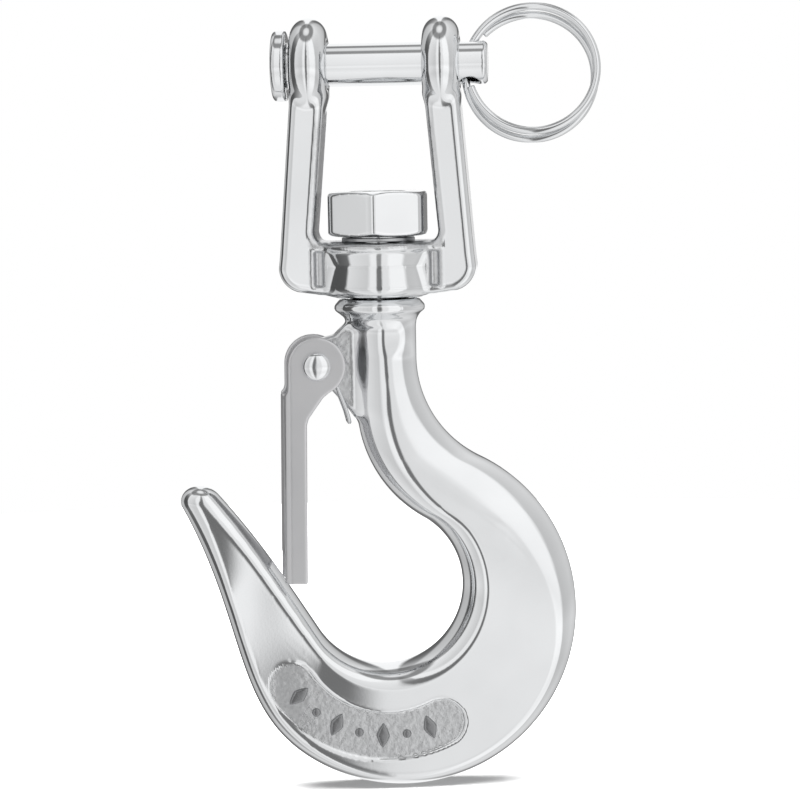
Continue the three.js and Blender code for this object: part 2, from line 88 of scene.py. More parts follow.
# The ears are slightly thinner than the CAD's (3.5 half thickness), so that the fine ring clears them.
EAR_X, EAR_HALF, EAR_RADIUS = 12.3, 3.4, 8.8
EAR_BORE_FROM_X = 6
LEG_TOP_Z = -5.5
LEG_HALF_DEPTH, LEG_EDGE = 5.4, 1.5
OUTER_TOP_X, OUTER_FOOT_X, INNER_TOP_X, INNER_FOOT_X = 15.2, 18.0, 8.75, 11.45
LEG_FOOT_Z = -35.0
CORNER_X, CORNER_Z, CORNER_RADIUS = 13.5, -37.2, 4.8
RIM_X, RIM_Z = 10.2, -42.5
HUB_TOP_Z, HUB_BOTTOM_Z, HUB_TOP_RADIUS, HUB_BOTTOM_RADIUS = -32.9, -42.9, 11.0, 8.0
HUB_FOOT_ROUND, HUB_LIP_ROUND = 2.2, 1.0
HUB_WAIST = [(9.4, -37.2), (10.3, -34.6)]
FLOOR_ROUND = 2.2
JAW_BLEND = 1.3
POCKET_X, POCKET_HALF_WIDTH = 10.7, 0.75
POCKET_Z, POCKET_HALF_HEIGHT = -37.6, 3.2
POCKET_Y, POCKET_HALF_DEPTH = 6.4, 2.2

SHANK_RADIUS, SHANK_TOP_Z, SHANK_CHAMFER = 5.0, -23.6, 0.6
SHANK_FOOT_Z, COLLAR_TOP_Z = -48.2, -43.2
COLLAR_X, COLLAR_Z, COLLAR_ROUND = 7.5, -44.95, 1.0
NUT_FLATS, NUT_TOP_Z, NUT_BOTTOM_Z, NUT_TURN = 17.8, -23.35, -31.7, math.radians(-10.6)
WASHER_RADIUS, WASHER_TOP_Z, WASHER_BOTTOM_Z = 6.8, -31.95, -32.65
BORE_GAP = 0.3

RIVET_RADIUS, RIVET_HEAD_RADIUS, RIVET_HEAD_HEIGHT = 1.9, 2.65, 1.25
LUG_HALF, LUG_RADIUS = 2.2, 4.5
LATCH_HALF_WIDTH, LATCH_SHEET, LATCH_EAR_RADIUS = 5.6, 1.2, 5.4
LATCH_WEB_X, LATCH_TONGUE_X, LATCH_END_Z, LATCH_BEND = -6.25, -1.85, -40.5, 1.5
LATCH_WEB_TOP_Z, LATCH_WEB_END_Z, LATCH_NOTCH_HALF = -5.6, -35.6, 4.3
LATCH_LEAN = math.radians(0.8)

SPRING_WIRE, COIL_RADIUS, COIL_PITCH, COIL_TURNS, COIL_Y = 0.75, 2.65, 0.8, 1.5, 2.7
BIGHT_X, BIGHT_Z = 6.3, -10.7

RING_WIRE, RING_RADIUS, RING_PITCH = 1.5, 12.02, 1.56
RING_CENTRE = (28.8, -0.27, -2.0)
RING_START, RING_END, RING_MIDDLE = 199, 854, 530
RING_DRIFT_X, RING_DRIFT_Z, RING_TILT = -0.4, -1.3, math.radians(10)

PANEL_X, PANEL_Z, PANEL_RADIUS, PANEL_HALF_WIDTH = 0.0, -103.0, 21.9, 4.35
PANEL_FROM, PANEL_TO, PANEL_FLOOR_Y, PANEL_MARK_Y = 213.5, 296.0, -5.4, -5.85
MARKS, MARK_HEIGHT, MARK_WIDTH, DOT_RADIUS = 7, 2.3, 1.25, 0.8
MARK_SIDES, LOZENGE_POWER = 40, 1.25

# The blade's two edges seen from the front, with the CAD's dimensions: the neck line, the throat's arc,
# the bowl, and one curve to the point. Angles are in degrees from +X, and leave and arrive are the
# curve's handle lengths.
NECK_TOP_Z, THROAT_Z = -45.2, -54.0
INNER_EDGE = {
    "neck_x": -4.6, "throat_radius": 25.0, "bowl_x": 0.0, "bowl_z": -97.3, "bowl_radius": 14.7,
    "bowl_from": 44, "bowl_to": -147, "leave": 9.0, "tip": (-30.6, -79.5), "heading": 131, "arrive": 12.0,
}
OUTER_EDGE = {
    "neck_x": 6.7, "throat_radius": 21.0, "bowl_x": 3.4, "bowl_z": -102.3, "bowl_radius": 32.7,
    "bowl_from": 33, "bowl_to": -122, "leave": 18.0, "tip": (-37.3, -82.1), "heading": 117, "arrive": 25.0,
}
# How finely the neck, throat, bowl and point are divided.
STRETCH_SPANS = (30, 110, 150, 70)
# The section at places along the blade, where each stretch is 1 long: the place, the half thickness,
# and how deep the inner and outer edges are rounded.
SECTIONS = [
    (0.0, 5.5, 5.6, 5.6), (1.0, 5.4, 5.5, 5.6), (1.3, 5.6, 6.2, 9.4), (1.7, 6.0, 5.8, 13.4),
    (2.0, 6.3, 5.0, 10.5), (2.25, 6.4, 4.5, 5.0), (2.5, 6.4, 4.6, 3.2), (2.9, 6.3, 4.6, 3.0),
    (3.3, 5.4, 4.2, 3.0), (3.7, 4.4, 3.7, 2.8), (4.0, 3.5, 3.3, 3.3),
]
BLADE_TAPER, TAPER_RUN = 0.1, 8.0
# Slightly under the CAD's 3.6.
TIP_ROUND = 3.55

FINE_VOXEL, VOXEL = 0.22, 0.34
# One smoothing step and the slightly larger step back that keeps the size.
RELAX_STEPS = [0.5, -0.52]

# ---- Fields: signed distances in millimetres, negative inside the metal ----


class Grid:
    """A regular lattice of points between two corners."""

    def __init__(self, low, high, voxel):
        self.voxel = voxel
        self.first = [math.floor(v / voxel) for v in low]
        counts = [math.ceil(v / voxel) - start + 1 for v, start in zip(high, self.first)]
        self.shape = tuple(counts)
        lines = [voxel * (start + np.arange(n)) for start, n in zip(self.first, counts)]
        axes = np.meshgrid(*[line.astype(np.float32) for line in lines], indexing="ij", sparse=True)
        self.x, self.y, self.z = axes


def both(a, b, blend=0.0):
    """Where two fields overlap, with the edge between them rounded by blend."""
    return -either(-a, -b, blend)


def either(a, b, blend=0.0):
    """Two fields joined, with a fillet of about blend between them."""
    joined = np.minimum(a, b)
    if blend > 0:
        joined = joined - np.maximum(blend - np.abs(a - b), 0) ** 2 / (4 * blend)
    return joined


def cut(a, b, blend=0.0):
    """Field a with field b taken away."""
    return both(a, -b, blend)


def outline_distance(points, u, v):
    """Signed distance from the places (u, v) to a closed outline."""
    nearest = np.float32(1e9)
    inside = np.zeros(np.broadcast(u, v).shape, bool)
    for (ax, ay), (bx, by) in zip(points, points[1:] + points[:1]):
        ex, ey = bx - ax, by - ay
        length = ex * ex + ey * ey
        if length < 1e-9:
            continue
        along = np.clip(((u - ax) * ex + (v - ay) * ey) / length, 0, 1)
        nearest = np.minimum(nearest, (u - ax - ex * along) ** 2 + (v - ay - ey * along) ** 2)
        if ey != 0:
            inside ^= ((ay > v) != (by > v)) & (u < ex * (v - ay) / ey + ax)
    return np.where(inside, -1, 1) * np.sqrt(nearest)


def slab(outline, depth, half, edge):
    """An outline's field carried through a depth of plus and minus half, with rounded edges."""
    a = outline + edge
    b = np.abs(depth) - (half - edge)
    return np.hypot(np.maximum(a, 0), np.maximum(b, 0)) + np.minimum(np.maximum(a, b), 0) - edge


def arc(cx, cy, radius, start, end, steps):
    """Points along an arc, with its angles in degrees."""
    angles = [math.radians(start + (end - start) * i / steps) for i in range(steps + 1)]
    return [(cx + radius * math.cos(a), cy + radius * math.sin(a)) for a in angles]


def turned_about_z(points, turn):
    """Points turned about the Z axis."""
    c, s = math.cos(turn), math.sin(turn)
    x, y, z = points.T
    return np.stack([x * c - y * s, x * s + y * c, z], 1)


def leaned(points):
    """Latch points, drawn about the rivet with the tongue pointing down, put in the hook."""
    c, s = math.cos(LATCH_LEAN), math.sin(LATCH_LEAN)
    x, y, z = points.T
    return np.stack([x * c + z * s + RIVET_X, y, z * c - x * s + RIVET_Z], 1)


# ---- Meshes ----


def make_piece(name, points, faces, turn=0.0, **layers):
    """A mesh object from points in millimetres. Each layer is a value for each point."""
    mesh = bpy.data.meshes.new(name)
    mesh.from_pydata((turned_about_z(points, turn) * MM).tolist(), [], [list(f) for f in faces])
    mesh.validate()
    mesh.shade_smooth()
    for layer, values in layers.items():
        attribute = mesh.attributes.new(layer, "FLOAT", "POINT")
        attribute.data.foreach_set("value", values.astype(np.float32))
    piece = bpy.data.objects.new(name, mesh)
    bpy.context.scene.collection.objects.link(piece)
    return piece


def relaxed(points, faces, rounds):
    """Points with their fine ripple taken out and their shape kept."""
    pairs = np.concatenate([faces[:, [i, (i + 1) % faces.shape[1]]] for i in range(faces.shape[1])])
    ends = np.concatenate([pairs, pairs[:, ::-1]])
    count = np.bincount(ends[:, 0], minlength=len(points))[:, None]
    for step in RELAX_STEPS * rounds:
        sums = [np.bincount(ends[:, 0], points[ends[:, 1], k], len(points)) for k in range(3)]
        points = points + step * (np.stack(sums, 1) / count - points)
    return points


def surface(field, grid, rounds=4):
    """The surface of a field as (points, quads), with its faces pointing out."""
    volume = openvdb.FloatGrid(3 * grid.voxel)
    volume.copyFromArray(np.ascontiguousarray(field, np.float32))
    points, quads = volume.convertToQuads(0.0)
    points = (points.astype(float) + grid.first) * grid.voxel
    a, b, c = (points[quads[:, i]] for i in range(3))
    volume_sign = np.einsum("ij,ij->i", a, np.cross(b, c)).sum()
    quads = quads if volume_sign > 0 else quads[:, ::-1]
    return relaxed(points, quads, rounds), quads


def tube(path, radius, sides, bevel):
    """A round wire along a path of points, its flat ends slightly bevelled."""
    ahead = np.gradient(path, axis=0)
    ahead /= np.linalg.norm(ahead, axis=1)[:, None]
    side = np.cross(ahead[0], (0.3, 0.9, 0.1))
    angles = 2 * math.pi * np.arange(sides) / sides
    rings = []
    last = len(path) - 1
    for i, (place, way) in enumerate(zip(path, ahead)):
        side = side - way * (side @ way)
        side /= np.linalg.norm(side)
        up = np.cross(way, side)
        ring = np.outer(np.cos(angles), side) + np.outer(np.sin(angles), up)
        if i == 0:
            rings.append(place + ring * (radius - bevel))
            rings.append(place + ring * radius + way * bevel)
        elif i == last:
            rings.append(place + ring * radius - way * bevel)
            rings.append(place + ring * (radius - bevel))
        else:
            rings.append(place + ring * radius)
    return closed_rings(rings)


def closed_rings(rings):
    """A closed skin over rings of points, as (points, faces)."""
    sides = len(rings[0])
    points = np.concatenate(rings)
    faces = []
    for r in range(len(rings) - 1):
        for i in range(sides):
            j = (i + 1) % sides
            faces.append((r * sides + i, r * sides + j, (r + 1) * sides + j, (r + 1) * sides + i))
    faces.append(tuple(range(sides))[::-1])
    faces.append(tuple((len(rings) - 1) * sides + i for i in range(sides)))
    return points, faces


def spline(points, count):
    """Evenly spaced places on a smooth curve through points of any dimension."""
    points = np.array(points, float)
    knots = np.concatenate([[0], np.cumsum(np.linalg.norm(np.diff(points, axis=0), axis=1) ** 0.5)])
    return spline_at(knots, points, np.linspace(0, knots[-1], count))


def spline_at(knots, points, at):
    """A natural cubic spline through points at the knots, read at other places."""
    gaps = np.diff(knots)
    matrix = np.eye(len(knots))
    right = np.zeros(points.shape)
    for i in range(1, len(knots) - 1):
        matrix[i, i - 1:i + 2] = gaps[i - 1], 2 * (gaps[i - 1] + gaps[i]), gaps[i]
        right[i] = 6 * ((points[i + 1] - points[i]) / gaps[i] - (points[i] - points[i - 1]) / gaps[i - 1])
    bend = np.linalg.solve(matrix, right)
    i = np.clip(np.searchsorted(knots, at, "right") - 1, 0, len(knots) - 2)
    b = ((at - knots[i]) / gaps[i])[:, None]
    a = 1 - b
    gap = gaps[i][:, None]
    curve = ((a ** 3 - a) * bend[i] + (b ** 3 - b) * bend[i + 1]) * gap ** 2 / 6
    return a * points[i] + b * points[i + 1] + curve


def ramp(values, start, end):
    """Smoothly from 0 at start to 1 at end."""
    t = np.clip((values - start) / (end - start), 0, 1)
    return t * t * (3 - 2 * t)


# ---- Clevis jaw ----


def jaw_outline():
    """The U of both legs and the cross bar under them."""
    floor_x, floor_z = INNER_FOOT_X - FLOOR_ROUND, HUB_TOP_Z + FLOOR_ROUND
    right = [
        (0, RIM_Z),
        (RIM_X, RIM_Z),
        *arc(CORNER_X, CORNER_Z, CORNER_RADIUS, -80, -4, 14),
        (OUTER_FOOT_X, LEG_FOOT_Z),
        (OUTER_TOP_X, 0),
        (INNER_TOP_X, 0),
        *arc(floor_x, floor_z, FLOOR_ROUND, 0, -90, 10),
    ]
    return right + [(-x, z) for x, z in reversed(right[1:])]


def hub_profile():
    """Half of the hub's section, from the axis out."""
    return [
        (-1, HUB_BOTTOM_Z),
        *arc(HUB_BOTTOM_RADIUS, HUB_BOTTOM_Z + HUB_FOOT_ROUND, HUB_FOOT_ROUND, -90, -10, 8),
        *HUB_WAIST,
        *arc(HUB_TOP_RADIUS - HUB_LIP_ROUND, HUB_TOP_Z - HUB_LIP_ROUND, HUB_LIP_ROUND, 0, 90, 8),
        (-1, HUB_TOP_Z),
    ]


def clevis_jaw():
    g = Grid((-20, -12.5, -44), (20, 12.5, 10), FINE_VOXEL * 1.3)
    legs = slab(outline_distance(jaw_outline(), g.x, g.z), g.y, LEG_HALF_DEPTH, LEG_EDGE)
    across = np.hypot(g.y, g.z)
    beside = np.abs(g.x) - EAR_X
    ears = np.hypot(np.maximum(across - EAR_RADIUS + EAR_HALF, 0), beside) - EAR_HALF
    axis_out = np.hypot(g.x, g.y)
    hub = outline_distance(hub_profile(), axis_out, g.z)
    legs = both(legs, g.z - LEG_TOP_Z, 1.0)
    body = either(either(legs, ears, JAW_BLEND), hub, JAW_BLEND)
    pocket_across = np.abs(np.abs(g.x) - POCKET_X) - POCKET_HALF_WIDTH
    pocket_up = np.abs(g.z - POCKET_Z) - POCKET_HALF_HEIGHT
    pockets = slab(np.maximum(pocket_across, pocket_up), np.abs(g.y) - POCKET_Y, POCKET_HALF_DEPTH, 0.5)
    body = cut(body, pockets, 0.9)
    body = cut(body, np.maximum(across - PIN_RADIUS - BORE_GAP, EAR_BORE_FROM_X - np.abs(g.x)), 0.5)
    body = cut(body, axis_out - SHANK_RADIUS - BORE_GAP, 0.5)
    points, faces = surface(body, g)
    x, y, z = np.abs(points[:, 0]), points[:, 1], points[:, 2]
    inner = INNER_TOP_X + (INNER_FOOT_X - INNER_TOP_X) * z / LEG_FOOT_Z
    leg = (1 - ramp(x, inner + 0.7, inner + 1.5)) * ramp(-z, 9.5, 11.5) * (1 - ramp(-z, 33.5, 34))
    pocket = (1 - ramp(np.abs(x - POCKET_X), 1.1, 1.7)) * ramp(-z, 33.6, 34.6) * (1 - ramp(-z, 40.6, 41.6))
    cast = np.maximum(leg, pocket * ramp(np.abs(y), 3.5, 4.2))
    return make_piece("clevis_jaw_cast", points, faces, cast=cast)


# ---- Clevis pin and split ring ----


def clevis_pin():
    g = Grid((-20, -7.4, -7.4), (21.8, 7.4, 7.4), FINE_VOXEL)
    out = np.hypot(g.y, g.z)
    head_x, shoulder_x = PIN_HEAD_RADIUS - PIN_HEAD_ROUND, PIN_HEAD_RADIUS - PIN_SHOULDER_ROUND
    profile = [
        (-1, PIN_LEFT),
        (PIN_CROWN_RADIUS, PIN_LEFT),
        (head_x, PIN_LEFT + PIN_CROWN),
        *arc(head_x, PIN_LEFT + PIN_CROWN + PIN_HEAD_ROUND, PIN_HEAD_ROUND, -80, 0, 8),
        *arc(shoulder_x, PIN_SHOULDER - PIN_SHOULDER_ROUND, PIN_SHOULDER_ROUND, 0, 90, 6),
        (PIN_RADIUS, PIN_SHOULDER),
        (PIN_RADIUS, PIN_END - PIN_CHAMFER_RUN),
        (PIN_RADIUS - PIN_CHAMFER_RISE, PIN_END),
        (-1, PIN_END),
    ]
    body = outline_distance(profile, out, g.x)
    c, s = math.cos(PIN_HOLE_TILT), math.sin(PIN_HOLE_TILT)
    hole = np.hypot(g.x - PIN_HOLE_X, g.y * c - g.z * s) - PIN_HOLE_RADIUS
    points, faces = surface(cut(body, hole, 0.5), g)
    return make_piece("clevis_pin_turned", points, faces)


def split_ring():
    degrees = np.linspace(RING_START, RING_END, 420)
    turns = (degrees - RING_MIDDLE) / 360
    angle = np.radians(degrees)
    x = RING_RADIUS * np.cos(angle) + RING_DRIFT_X * turns
    up = RING_RADIUS * np.sin(angle) + RING_DRIFT_Z * turns
    y = RING_PITCH * turns
    c, s = math.cos(-RING_TILT), math.sin(-RING_TILT)
    path = np.stack([x, y * c - up * s, y * s + up * c], 1) + np.array(RING_CENTRE)
    points, faces = tube(path, RING_WIRE / 2 - 0.01, 28, 0.14)
    return make_piece("split_ring_wire", points, faces)


# ---- Nut and washer ----


def shank_nut():
    g = Grid((-11, -11, -32.4), (11, 11, -22.6), FINE_VOXEL)
    c, s = math.cos(-NUT_TURN), math.sin(-NUT_TURN)
    x, y = g.x * c - g.y * s, g.x * s + g.y * c
    hexagon = np.float32(-100)
    for i in range(6):
        way = math.radians(60 * i)
        flat = x * math.cos(way) + y * math.sin(way) - NUT_FLATS / 2
        hexagon = both(hexagon, flat, 1.1) if i else flat
    out = np.hypot(g.x, g.y)
    middle, half = (NUT_TOP_Z + NUT_BOTTOM_Z) / 2, (NUT_TOP_Z - NUT_BOTTOM_Z) / 2
    height = np.abs(g.z - middle) - half
    body = both(hexagon, height + 0 * hexagon, 0.35)
    chamfer = (out - NUT_FLATS / 2 + 0.1) * 0.45 + height * 0.89
    body = both(body, chamfer, 0.35)
    body = cut(body, out - SHANK_RADIUS - BORE_GAP, 0.7)
    points, faces = surface(body, g)
    return make_piece("shank_nut_hex", points, faces, HOOK_TURN)


def lathe(profile, sides):
    """A closed ring of a profile of (radius, height) turned about Z, as (points, faces)."""
    angles = 2 * math.pi * np.arange(sides) / sides
    rings = [np.stack([r * np.cos(angles), r * np.sin(angles), 0 * angles + h], 1) for r, h in profile]
    points = np.concatenate(rings)
    faces = []
    for k in range(len(profile)):
        following = (k + 1) % len(profile)
        for i in range(sides):
            j = (i + 1) % sides
            faces.append((k * sides + i, k * sides + j, following * sides + j, following * sides + i))
    return points, faces


def thrust_washer():
    inner, edge = SHANK_RADIUS + BORE_GAP, 0.12
    profile = [
        (inner, WASHER_BOTTOM_Z),
        (WASHER_RADIUS - edge, WASHER_BOTTOM_Z),
        (WASHER_RADIUS, WASHER_BOTTOM_Z + edge),
        (WASHER_RADIUS, WASHER_TOP_Z - edge),
        (WASHER_RADIUS - edge, WASHER_TOP_Z),
        (inner, WASHER_TOP_Z),
    ]
    points, faces = lathe(profile, 96)
    piece = make_piece("thrust_washer_disc", points, faces, HOOK_TURN)
    piece.data.set_sharp_from_angle(angle=math.radians(30))
    return piece


# ---- Hook body ----


def throat_points(edge, share):
    """Places along the neck line's end, the throat's arc and the start of the bowl, by length."""
    radius, bowl_radius = edge["throat_radius"], edge["bowl_radius"]
    centre_x = edge["neck_x"] + radius
    across = centre_x - edge["bowl_x"]
    rise = math.sqrt((radius + bowl_radius) ** 2 - across ** 2)
    centre_z = edge["bowl_z"] + rise
    touch = math.atan2(rise, across)
    line = THROAT_Z - centre_z
    bend = radius * touch
    onto_bowl = bowl_radius * (touch - math.radians(edge["bowl_from"]))
    run = share * (line + bend + onto_bowl)
    turn = math.pi + np.clip(run - line, 0, bend) / radius
    x = centre_x + radius * np.cos(turn)
    z = centre_z + radius * np.sin(turn) + np.clip(line - run, 0, None)
    past = touch - (run - line - bend) / bowl_radius
    on_bowl = run > line + bend
    x = np.where(on_bowl, edge["bowl_x"] + bowl_radius * np.cos(past), x)
    z = np.where(on_bowl, edge["bowl_z"] + bowl_radius * np.sin(past), z)
    return np.stack([x, z], 1)


def bowl_points(edge, share):
    """Places round the bowl."""
    turn = np.radians(edge["bowl_from"] + (edge["bowl_to"] - edge["bowl_from"]) * share)
    return np.stack([
        edge["bowl_x"] + edge["bowl_radius"] * np.cos(turn),
        edge["bowl_z"] + edge["bowl_radius"] * np.sin(turn),
    ], 1)


def point_points(edge, share):
    """Places by length on the cubic curve from the end of the bowl to the point."""
    end, heading = math.radians(edge["bowl_to"]), math.radians(edge["heading"])
    start = bowl_points(edge, np.array([1.0]))[0]
    tip = np.array(edge["tip"])
    first = start + edge["leave"] * np.array([math.sin(end), -math.cos(end)])
    second = tip - edge["arrive"] * np.array([math.cos(heading), math.sin(heading)])
    t = np.linspace(0, 1, 400)[:, None]
    near_start = (1 - t) ** 3 * start + 3 * (1 - t) ** 2 * t * first
    near_tip = 3 * (1 - t) * t ** 2 * second + t ** 3 * tip
    curve = near_start + near_tip
    run = np.concatenate([[0], np.cumsum(np.linalg.norm(np.diff(curve, axis=0), axis=1))])
    at = share * run[-1]
    return np.stack([np.interp(at, run, curve[:, 0]), np.interp(at, run, curve[:, 1])], 1)


def edge_points(edge):
    """One edge of the blade, from the neck's top to the point."""
    shares = [np.arange(1, spans + 1) / spans for spans in STRETCH_SPANS]
    neck_z = NECK_TOP_Z + (THROAT_Z - NECK_TOP_Z) * np.concatenate([[0], shares[0]])
    neck = np.stack([np.full(len(neck_z), edge["neck_x"]), neck_z], 1)
    rest = [throat_points(edge, shares[1]), bowl_points(edge, shares[2]), point_points(edge, shares[3])]
    return np.concatenate([neck, *rest])


def blade_rings():
    """Rings of points round the blade, from the neck to the rounded point."""
    shares = [stretch + np.arange(1, spans + 1) / spans for stretch, spans in enumerate(STRETCH_SPANS)]
    places = np.concatenate([[0], *shares])
    sections = np.array(SECTIONS)
    sizes = spline_at(sections[:, 0], sections[:, 1:], places)
    stations = np.concatenate([edge_points(INNER_EDGE), edge_points(OUTER_EDGE), sizes], 1)
    rings = [blade_ring(station) for station in stations]
    heading = math.radians((INNER_EDGE["heading"] + OUTER_EDGE["heading"]) / 2)
    ahead = np.array([math.cos(heading), 0, math.sin(heading)])
    last = rings[-1]
    centre = last.mean(0)
    for angle in np.radians(np.arange(8, 89, 8)):
        rings.append(centre + ahead * TIP_ROUND * math.sin(angle) + (last - centre) * math.cos(angle))
    return rings


def blade_ring(station):
    """One section: a rounded saddle, flat tapering sides and a rounded rim."""
    inner, outer = station[0:2], station[2:4]
    half, saddle, rim = station[4:7]
    width = np.linalg.norm(outer - inner)
    across = (outer - inner) / width
    saddle = min(saddle, width / 2)
    rim = min(rim, width - saddle)
    flatness = float(ramp(np.array(width - saddle - rim), 0, TAPER_RUN))
    outer_half = half * (1 - BLADE_TAPER * flatness)
    turn = np.radians(np.linspace(0, 90, 16))
    u = np.concatenate([saddle * (1 - np.cos(turn)), width - rim + rim * np.sin(turn)])
    y = np.concatenate([half * np.sin(turn), outer_half * np.cos(turn)])
    u = np.concatenate([u, u[-2:0:-1]])
    y = np.concatenate([y, -y[-2:0:-1]])
    return np.stack([inner[0] + across[0] * u, y, inner[1] + across[1] * u], 1)


def blade_field(g):
    """The blade's field on a grid, to a few millimetres either side of its surface."""
    points, faces = closed_rings(blade_rings())
    quads = [f for f in faces if len(f) == 4]
    sides = len(faces[-1])
    caps = []
    for ring in faces[-2:]:
        caps += [(ring[0], ring[i], ring[i + 1]) for i in range(1, sides - 1)]
    reach = 9
    volume = openvdb.FloatGrid.createLevelSetFromPolygons(
        points.astype(np.float32), triangles=np.array(caps, np.uint32), quads=np.array(quads, np.uint32),
        transform=openvdb.createLinearTransform(voxelSize=g.voxel), halfWidth=reach,
    )
    field = np.zeros(g.shape, np.float32)
    volume.copyToArray(field, ijk=tuple(g.first))
    return field


def shank_profile():
    """Half of the section of the shank and its collar, from the axis out."""
    return [
        (-1, SHANK_FOOT_Z),
        (5.6, SHANK_FOOT_Z),
        (6.5, -47.0),
        (7.3, -46.4),
        *arc(COLLAR_X, COLLAR_Z, COLLAR_ROUND, -50, 50, 8),
        (7.6, -43.55),
        (7.25, COLLAR_TOP_Z),
        (SHANK_RADIUS, COLLAR_TOP_Z),
        (SHANK_RADIUS, SHANK_TOP_Z - SHANK_CHAMFER),
        (SHANK_RADIUS - SHANK_CHAMFER, SHANK_TOP_Z),
        (-1, SHANK_TOP_Z),
    ]


def lug_outline():
    """The lug that carries the latch's rivet, from the collar down to the neck."""
    return [
        (0, -47.6),
        (-6.9, -48.2),
        (-8.6, -49.9),
        *arc(RIVET_X, RIVET_Z, LUG_RADIUS, 115, 300, 28),
        (-5.2, -65.1),
        (0, -66.5),
    ]


def panel_distance(x, z):
    """Distance outside the slot-shaped panel, seen from the front."""
    middle = math.radians((PANEL_FROM + PANEL_TO) / 2)
    half = math.radians((PANEL_TO - PANEL_FROM) / 2)
    c, s = math.cos(middle), math.sin(middle)
    ahead = (x - PANEL_X) * c + (z - PANEL_Z) * s
    aside = np.abs((z - PANEL_Z) * c - (x - PANEL_X) * s)
    angle = np.minimum(np.arctan2(aside, ahead), half)
    on_arc_x, on_arc_y = PANEL_RADIUS * np.cos(angle), PANEL_RADIUS * np.sin(angle)
    return np.hypot(ahead - on_arc_x, aside - on_arc_y) - PANEL_HALF_WIDTH


def panel_marks():
    """Plain raised marks along the panel, lozenges with dots between them, as (points, faces)."""
    points, faces = [], []
    for i in range(MARKS):
        degrees = PANEL_FROM + (PANEL_TO - PANEL_FROM) * (i + 0.5) / MARKS
        x, z = arc(PANEL_X, PANEL_Z, PANEL_RADIUS, degrees, degrees, 1)[0]
        turn = math.radians(degrees)
        for k in range(MARK_SIDES):
            around = math.radians(360 / MARK_SIDES * k)
            if i % 2:
                out = DOT_RADIUS
            else:
                u, v = abs(math.cos(around)) / MARK_HEIGHT, abs(math.sin(around)) / MARK_WIDTH
                out = (u ** LOZENGE_POWER + v ** LOZENGE_POWER) ** (-1 / LOZENGE_POWER)
            points.append((x, z, out, around + turn))
    points = np.array(points).reshape(MARKS, MARK_SIDES, 4)
    steps = [(0.0, PANEL_FLOOR_Y + 0.6), (0.0, PANEL_MARK_Y + 0.28), (0.07, PANEL_MARK_Y + 0.1),
             (0.22, PANEL_MARK_Y), (0.5, PANEL_MARK_Y - 0.03)]
    made, count = [], 0
    for mark in points:
        rings = []
        for inset, y in steps:
            out = mark[:, 2] - np.minimum(inset, 0.8 * mark[:, 2])
            x = mark[:, 0] + out * np.cos(mark[:, 3])
            z = mark[:, 1] + out * np.sin(mark[:, 3])
            rings.append(np.stack([x, 0 * x + y, z], 1))
        ring_points, ring_faces = closed_rings(rings)
        made.append(ring_points)
        faces += [tuple(count + v for v in face) for face in ring_faces]
        count += len(ring_points)
    return np.concatenate(made), faces


def hook_body():
    g = Grid((-40.5, -9, -137), (38.5, 9, -22.5), VOXEL)
    body = blade_field(g)
    shank = outline_distance(shank_profile(), np.hypot(g.x, g.y), g.z)
    body = either(body, shank, 1.3)
    lug = slab(outline_distance(lug_outline(), g.x, g.z), g.y, LUG_HALF, 0.7)
    body = either(body, lug, 1.8)
    body = cut(body, np.hypot(g.x - RIVET_X, g.z - RIVET_Z) - RIVET_RADIUS - BORE_GAP + 0 * g.y, 0.3)
    panel = np.maximum(panel_distance(g.x, g.z), g.y - PANEL_FLOOR_Y)
    body = cut(body, panel, 0.35)
    points, faces = surface(body, g)
    x, y, z = points.T
    lug_side = (1 - ramp(np.abs(y), LUG_HALF + 0.1, LUG_HALF + 1.2)) * (1 - ramp(x, -6.4, -4.6))
    lug_part = lug_side * ramp(z, -67, -65) * ramp(-z, 48, 49.5)
    deep = 1 - ramp(y, PANEL_FLOOR_Y + 0.2, PANEL_FLOOR_Y + 1)
    floor = (1 - ramp(panel_distance(x, z), -0.4, 0.1)) * deep
    cast = np.maximum(lug_part, floor)
    mark_points, mark_faces = panel_marks()
    faces = [tuple(f) for f in faces.tolist()] + [tuple(v + len(points) for v in f) for f in mark_faces]
    mark = np.concatenate([np.zeros(len(points)), np.ones(len(mark_points))])
    cast = np.concatenate([cast, np.zeros(len(mark_points))])
    points = np.concatenate([points, mark_points])
    return make_piece("hook_body_forged", points, faces, HOOK_TURN, cast=cast, mark=mark)


# ---- Latch, rivet and spring, drawn about the rivet with the tongue pointing down ----


def latch_outline():
    """The latch seen from the side: the round ear, the web and the cheeks' slope into the tongue."""
    return [
        *arc(0, 0, LATCH_EAR_RADIUS, -64, 180, 60),
        (-LATCH_EAR_RADIUS, -4.1),
        (-5.6, -4.8),
        (LATCH_WEB_X, -5.3),
        (LATCH_WEB_X, LATCH_END_Z),
        (LATCH_TONGUE_X, LATCH_END_Z),
        (LATCH_TONGUE_X, -10.9),
        (-1.5, -9.7),
        (-0.2, -7.8),
        (1.2, -5.8),
    ]


